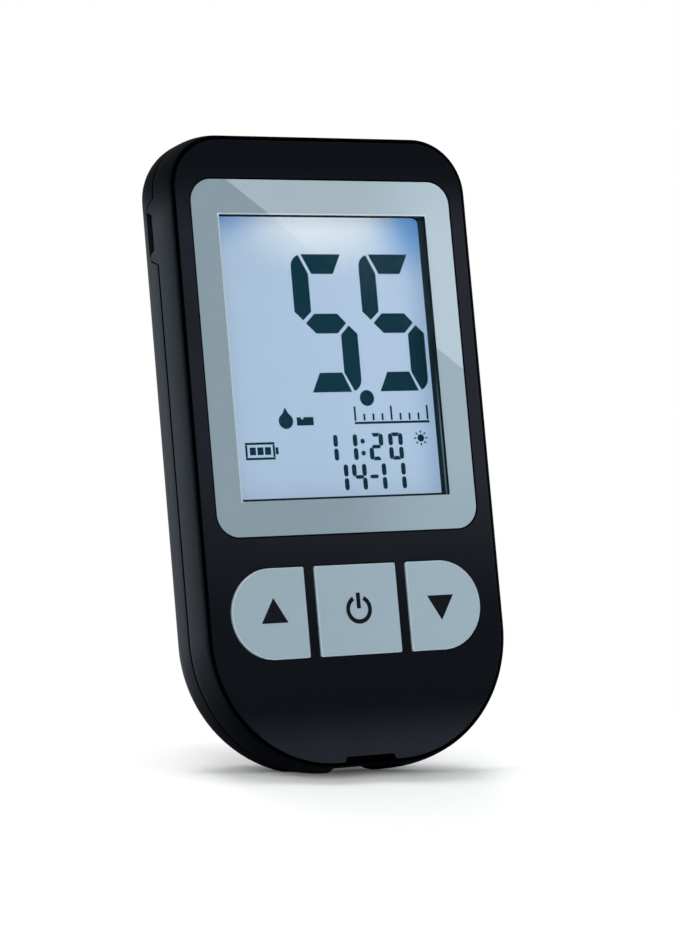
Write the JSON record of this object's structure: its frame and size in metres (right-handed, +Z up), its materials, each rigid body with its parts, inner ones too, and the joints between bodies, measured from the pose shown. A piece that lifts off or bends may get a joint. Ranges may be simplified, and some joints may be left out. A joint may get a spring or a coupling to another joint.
{
  "type": "blood glucose meter",
  "caption": "Hand-held meter that reads a test strip at its base and shows the value on a display above its keys.",
  "frame": {"origin": "middle of the base that the meter stands on, at the foot of its bounding box", "axes": "+Z up along the meter's height, -Y out of the face with the display and keys, +X to the right seen from the front"},
  "size_m": [0.049, 0.0152, 0.092],
  "materials": {
    "face_black": "satin black moulded plastic",
    "window_clear": "clear polished sheet with a grey-blue border printed on its back",
    "case_black": "finely textured black moulded plastic",
    "seal_foam": "soft black foam and adhesive",
    "display_glass": "grey-blue liquid crystal display with dark segments",
    "white_plastic": "white moulded plastic",
    "light_plate": "clear light-spreading plastic",
    "elastomer": "layered conducting rubber",
    "board_green": "green solder mask",
    "contact_gold": "gold-plated copper alloy",
    "chip_black": "black moulded resin",
    "nickel": "nickel-plated sheet steel",
    "capacitor_tan": "tan ceramic",
    "silicone": "dark grey silicone",
    "key_grey": "grey-blue moulded plastic with printed black marks",
    "cell_steel": "nickel-plated steel can",
    "screw_steel": "zinc-plated steel"
  },
  "bodies": {
    "case": {"face_plate": "face_black", "display_window": "window_clear", "window_adhesive": "seal_foam", "front_case": "case_black", "rear_case": "case_black", "display_seal": "seal_foam", "lcd_panel": "display_glass", "display_frame": "white_plastic", "backlight_plate": "light_plate", "backlight_leds": "white_plastic", "display_connector": "elastomer", "main_board": "board_green", "key_contacts": "contact_gold", "processor": "chip_black", "memory_chip": "chip_black", "clock_crystal": "nickel", "board_capacitors": "capacitor_tan", "buzzer": "chip_black", "strip_connector": "chip_black", "strip_contacts": "contact_gold", "data_port": "nickel", "keypad_mat": "silicone", "coin_cells": "cell_steel", "negative_contacts": "nickel", "positive_contacts": "nickel", "case_screws": "screw_steel"},
    "up_key": {"up_key": "key_grey", "up_key_boss": "silicone"},
    "power_key": {"power_key": "key_grey", "power_key_boss": "silicone"},
    "down_key": {"down_key": "key_grey", "down_key_boss": "silicone"},
    "battery_cover": {"battery_cover": "case_black"}
  },
  "joints": [
    {"name": "up_key_press", "type": "slide", "parent": "case", "child": "up_key", "axis": [0, 1, 0], "range_m": [0, 0.0005], "stiffness_N_per_m": 1500, "springref_m": -0.0003},
    {"name": "power_key_press", "type": "slide", "parent": "case", "child": "power_key", "axis": [0, 1, 0], "range_m": [0, 0.0005], "stiffness_N_per_m": 1500, "springref_m": -0.0003},
    {"name": "down_key_press", "type": "slide", "parent": "case", "child": "down_key", "axis": [0, 1, 0], "range_m": [0, 0.0005], "stiffness_N_per_m": 1500, "springref_m": -0.0003},
    {"name": "battery_cover_swing", "type": "hinge", "parent": "case", "child": "battery_cover", "pos_m": [0, 0.00755, 0.0655], "axis": [1, 0, 0], "range_deg": [0, 50]}
  ]
}
